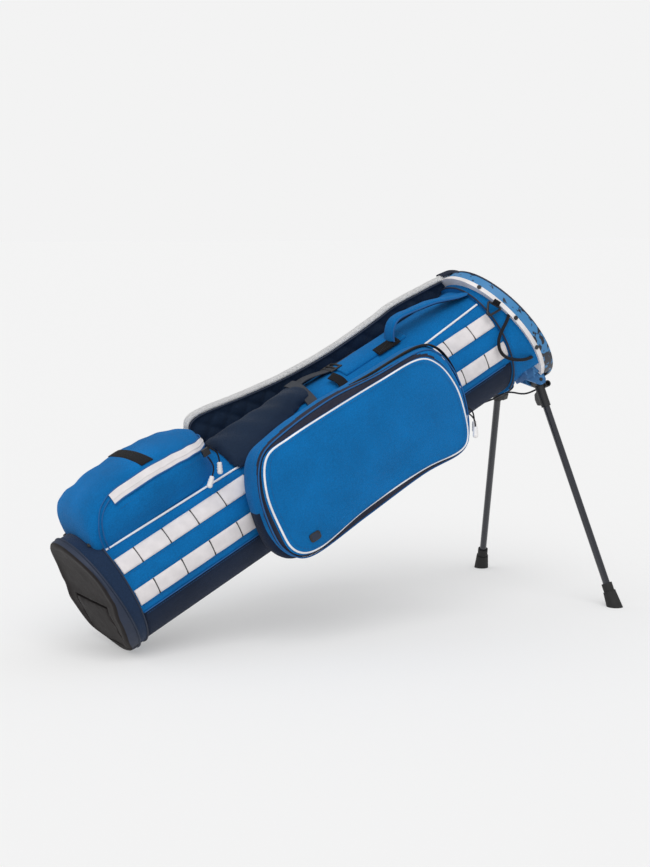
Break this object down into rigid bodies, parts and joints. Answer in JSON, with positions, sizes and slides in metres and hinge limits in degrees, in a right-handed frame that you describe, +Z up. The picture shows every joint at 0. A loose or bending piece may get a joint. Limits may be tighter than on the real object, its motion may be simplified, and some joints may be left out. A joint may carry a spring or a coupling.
{
  "type": "golf stand bag",
  "caption": "Golf stand bag leaning on its raked base and two splayed fold-out legs, with pockets, shoulder straps, grab handle and divided mouth.",
  "frame": {"origin": "on the floor under the middle of the standing bag, legs out", "axes": "+Z up, +X from the base towards the mouth, +Y towards the flank away from the large pocket"},
  "size_m": [0.9338, 0.3964, 0.558],
  "materials": {
    "black_fabric": "matte",
    "black_plastic": "satin",
    "black_rubber": "matte",
    "black_tube": "satin",
    "blue_fabric": "woven",
    "blue_plastic": "satin",
    "cord": "braided",
    "glass_fibre": "satin",
    "grey_webbing": "ribbed",
    "navy_fabric": "matte",
    "steel_wire": "bright",
    "white_rubber": "satin",
    "white_trim": "satin",
    "white_webbing": "ribbed",
    "zip_tape": "matte"
  },
  "bodies": {
    "bag": {"ball_pocket_body": "blue_fabric", "ball_pocket_patch": "black_fabric", "ball_pocket_zip": "zip_tape", "base_cup": "navy_fabric", "base_sole": "black_rubber", "body_tube": "blue_fabric", "clothing_pocket_front": "blue_fabric", "clothing_pocket_gusset": "blue_fabric", "clothing_pocket_piping": "white_trim", "clothing_pocket_zip": "zip_tape", "collar_ring": "white_trim", "collar_rivets": "black_plastic", "collar_skirt": "blue_fabric", "elastic_loop": "cord", "grab_handle": "blue_fabric", "handle_patch": "black_fabric", "heel_pin": "steel_wire", "leg_bracket_far": "black_plastic", "leg_bracket_near": "black_plastic", "leg_pin_far": "steel_wire", "leg_pin_near": "steel_wire", "rod_sleeve": "black_plastic", "side_pocket": "navy_fabric", "spine_panel": "navy_fabric", "stay_rods": "glass_fibre", "strap_ladder_lock": "black_plastic", "strap_pad_far": "navy_fabric", "strap_pad_near": "navy_fabric", "strap_webbing_far": "grey_webbing", "strap_webbing_near": "grey_webbing", "top_collar": "blue_plastic", "top_divider": "black_plastic", "towel_tab": "grey_webbing", "webbing_row_far_lower": "white_webbing", "webbing_row_far_upper": "white_webbing", "webbing_row_lower": "white_webbing", "webbing_row_upper": "white_webbing"},
    "leg_near": {"leg_head_near": "black_plastic", "leg_tube_near": "black_tube", "leg_foot_near": "black_rubber"},
    "leg_far": {"leg_head_far": "black_plastic", "leg_tube_far": "black_tube", "leg_foot_far": "black_rubber"},
    "push_rods": {"push_rod_near": "steel_wire", "push_rod_far": "steel_wire", "rod_yoke": "black_plastic"},
    "heel": {"heel_plate": "black_rubber"},
    "towel_ring": {"towel_ring": "black_plastic"},
    "clothing_zip_slider": {"clothing_pocket_slider": "black_plastic", "clothing_pull_upper": "cord", "clothing_pull_upper_tip": "white_rubber", "clothing_pull_lower": "cord", "clothing_pull_lower_tip": "white_rubber"},
    "ball_zip_slider": {"ball_pocket_slider": "black_plastic", "ball_pull_upper": "cord", "ball_pull_upper_tip": "white_rubber", "ball_pull_lower": "cord", "ball_pull_lower_tip": "white_rubber"}
  },
  "joints": [
    {"name": "leg_near_swing", "type": "hinge", "parent": "bag", "child": "leg_near", "pos_m": [0.38787, -0.052, 0.37332], "axis": [0.1539, 0.9397, -0.3054], "range_deg": [0, 74.2]},
    {"name": "leg_far_swing", "type": "hinge", "parent": "bag", "child": "leg_far", "pos_m": [0.38787, 0.052, 0.37332], "axis": [-0.1539, 0.9397, 0.3054], "range_deg": [0, 74.2]},
    {"name": "push_rod_slide", "type": "slide", "parent": "bag", "child": "push_rods", "axis": [-0.8931, 0, -0.4499], "range_m": [0, 0.0193]},
    {"name": "heel_hinge", "type": "hinge", "parent": "bag", "child": "heel", "pos_m": [-0.40386, 0, 0.07788], "axis": [0, 1, 0], "range_deg": [0, 15.36]},
    {"name": "towel_ring_swing", "type": "hinge", "parent": "bag", "child": "towel_ring", "pos_m": [0.26952, -0.08448, 0.50622], "axis": [-0.7053, 0.503, 0.4995], "range_deg": [0, 68]},
    {"name": "clothing_zip_pull", "type": "slide", "parent": "bag", "child": "clothing_zip_slider", "axis": [-0.0522, 0, 0.9986], "range_m": [0, 0.01]},
    {"name": "ball_zip_pull", "type": "slide", "parent": "bag", "child": "ball_zip_slider", "axis": [-0.8931, 0, -0.4499], "range_m": [0, 0.14]}
  ],
  "couplings": [
    {"joint": "leg_far_swing", "follows": "leg_near_swing", "ratio": 1},
    {"joint": "push_rod_slide", "follows": "leg_near_swing", "m_per_rad": 0.014904},
    {"joint": "heel_hinge", "follows": "leg_near_swing", "ratio": 0.207}
  ]
}
